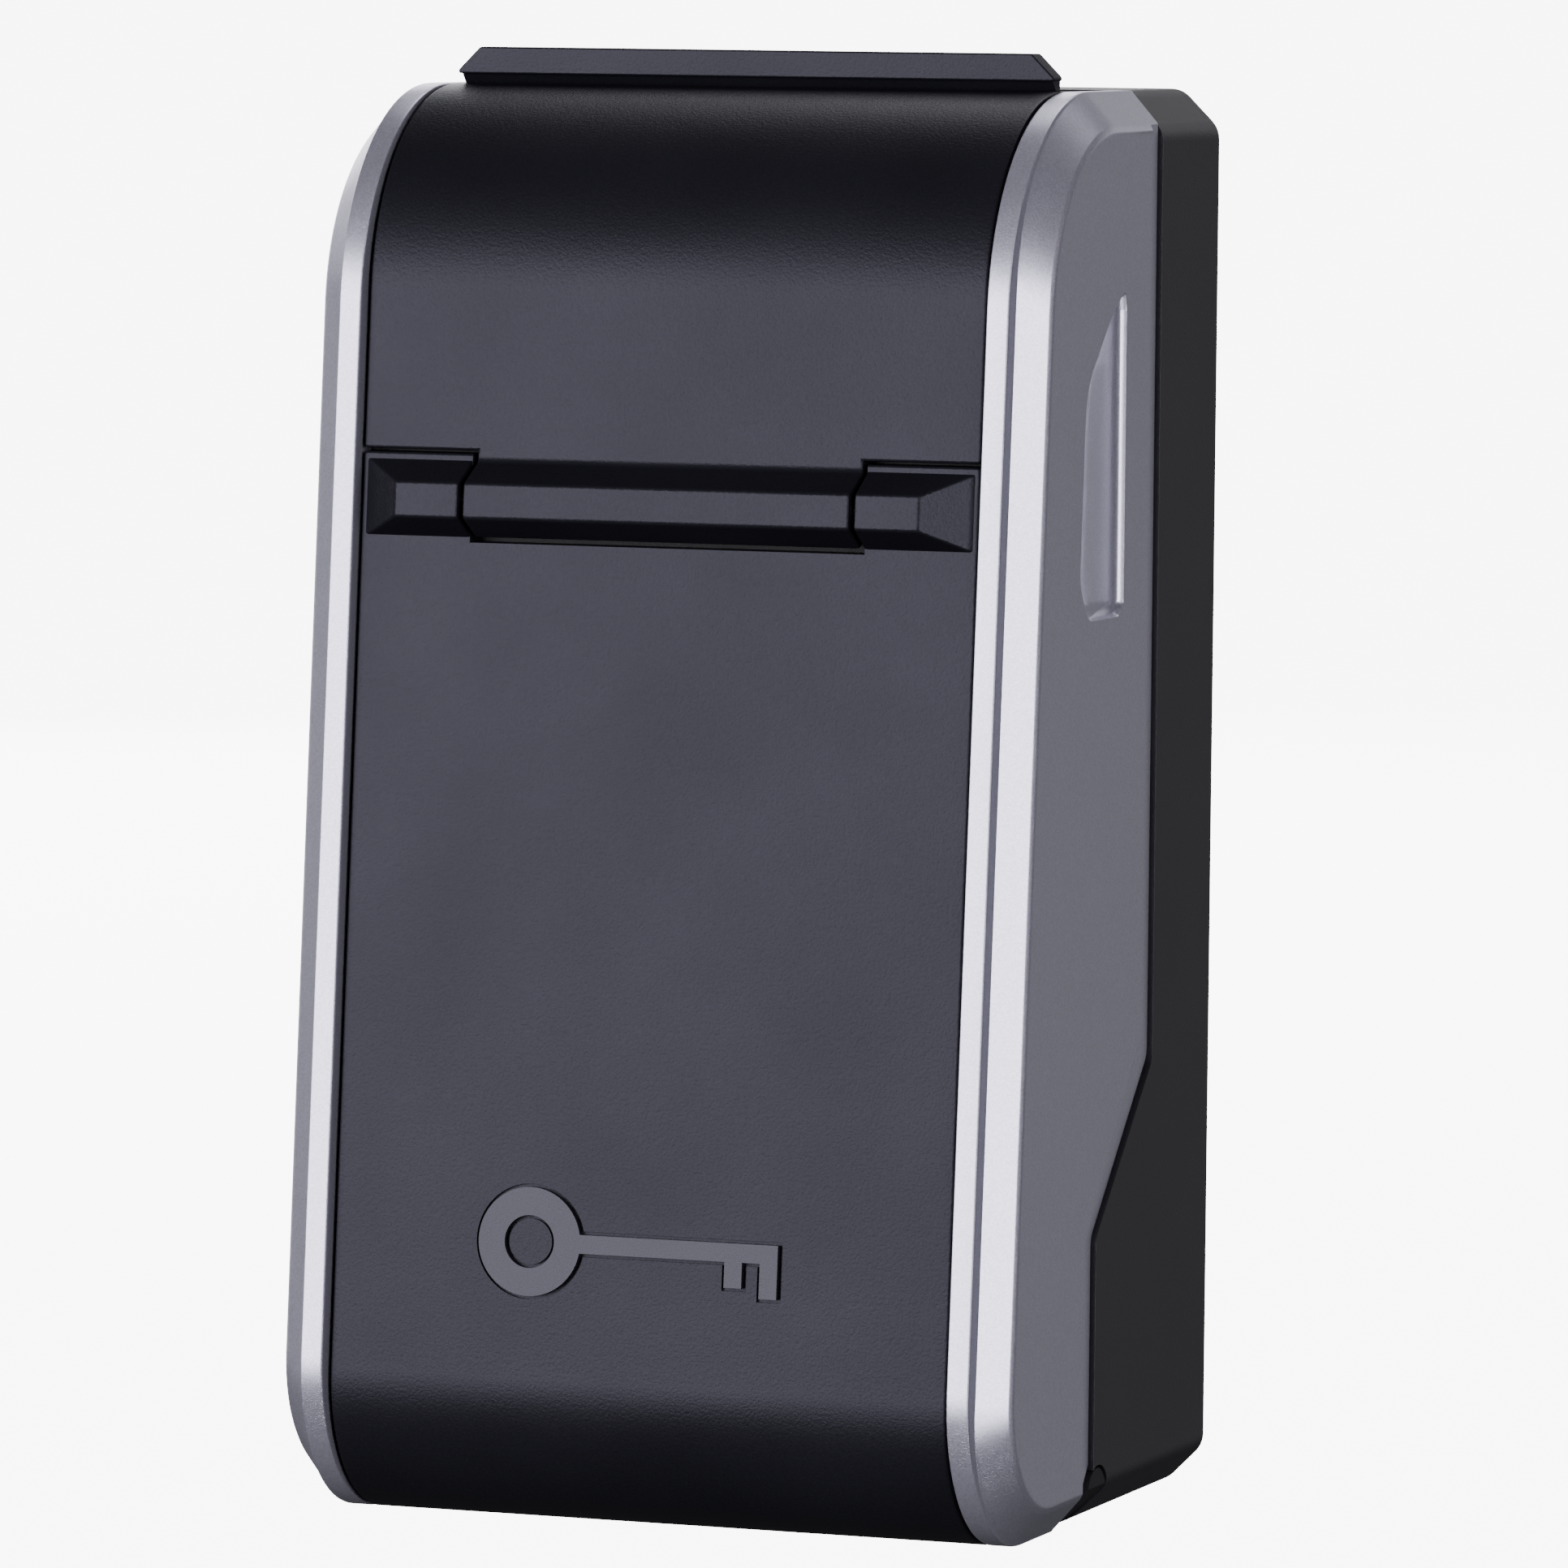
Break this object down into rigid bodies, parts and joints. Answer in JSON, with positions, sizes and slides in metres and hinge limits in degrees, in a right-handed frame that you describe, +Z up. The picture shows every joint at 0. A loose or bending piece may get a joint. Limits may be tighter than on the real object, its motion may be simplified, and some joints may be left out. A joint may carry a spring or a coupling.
{
  "type": "key lock box",
  "caption": "Wall-mounted key lock box: a leaning front door hinged at the foot, a flip-down weather cover over code dials, silver side covers and a sprung latch.",
  "frame": {"origin": "middle of the flat wall face at the back of the housing, half way up the body", "axes": "+X to the viewer's right, -Y is the front, +Z up"},
  "size_m": [0.1, 0.0824, 0.1902],
  "materials": {
    "housing_black": "matte black powder coat",
    "panel_black": "matte black with a fine grain",
    "silver": "satin silver paint",
    "dial_metal": "satin",
    "zinc": "dull zinc",
    "steel": "plain steel",
    "brass": "satin",
    "rubber": "matte",
    "button_black": "matte"
  },
  "bodies": {
    "housing": {"wall_housing": "housing_black", "strike_plate": "zinc", "strike_screw_1": "steel", "strike_screw_2": "steel", "hinge_pin": "steel", "hook_rail": "housing_black", "key_hook_1": "steel", "key_hook_2": "steel", "key_hook_3": "steel", "compartment_liner": "rubber", "door_seal": "rubber"},
    "door": {"door_frame": "housing_black", "lower_panel": "panel_black", "side_cover_left": "silver", "side_cover_right": "silver", "panel_screw_1": "steel", "panel_screw_2": "steel", "panel_screw_3": "steel", "panel_screw_4": "steel", "side_screw_1": "steel", "side_screw_2": "steel", "side_screw_3": "steel", "side_screw_4": "steel", "lock_face": "dial_metal", "lock_case": "zinc", "case_screw_1": "steel", "case_screw_2": "steel", "case_screw_3": "steel", "case_screw_4": "steel", "dial_spindle": "steel", "detent_spring": "steel", "latch_spring": "steel", "cover_pin": "steel"},
    "cover": {"weather_cover": "panel_black", "cover_seal": "rubber"},
    "dial_wheel_1": {"dial_1": "dial_metal", "dial_cam_1": "brass"},
    "dial_wheel_2": {"dial_2": "dial_metal", "dial_cam_2": "brass"},
    "dial_wheel_3": {"dial_3": "dial_metal", "dial_cam_3": "brass"},
    "dial_wheel_4": {"dial_4": "dial_metal", "dial_cam_4": "brass"},
    "release": {"release_slide": "button_black", "latch_bolt": "zinc"},
    "code_change": {"code_lever": "brass"}
  },
  "joints": [
    {"name": "door_hinge", "type": "hinge", "parent": "housing", "child": "door", "pos_m": [0, -0.0435, -0.08855], "axis": [1, 0, 0], "range_deg": [0, 95]},
    {"name": "cover_hinge", "type": "hinge", "parent": "door", "child": "cover", "pos_m": [0, -0.07213, 0.03985], "axis": [1, 0, 0], "range_deg": [0, 170]},
    {"name": "dial_turn_1", "type": "hinge", "parent": "door", "child": "dial_wheel_1", "pos_m": [-0.02425, -0.05794, 0.05575], "axis": [1, 0, 0], "continuous": true},
    {"name": "dial_turn_2", "type": "hinge", "parent": "door", "child": "dial_wheel_2", "pos_m": [-0.01275, -0.05794, 0.05575], "axis": [1, 0, 0], "continuous": true},
    {"name": "dial_turn_3", "type": "hinge", "parent": "door", "child": "dial_wheel_3", "pos_m": [-0.00125, -0.05794, 0.05575], "axis": [1, 0, 0], "continuous": true},
    {"name": "dial_turn_4", "type": "hinge", "parent": "door", "child": "dial_wheel_4", "pos_m": [0.01025, -0.05794, 0.05575], "axis": [1, 0, 0], "continuous": true},
    {"name": "latch_slide", "type": "slide", "parent": "door", "child": "release", "axis": [0, 0, 1], "range_m": [0, 0.005], "stiffness_N_per_m": 200, "springref_m": 0.005, "deforming": ["latch_spring"]},
    {"name": "code_lever_turn", "type": "hinge", "parent": "door", "child": "code_change", "pos_m": [-0.022, -0.0415, 0.05725], "axis": [0, 1, 0], "range_deg": [0, 90]}
  ]
}
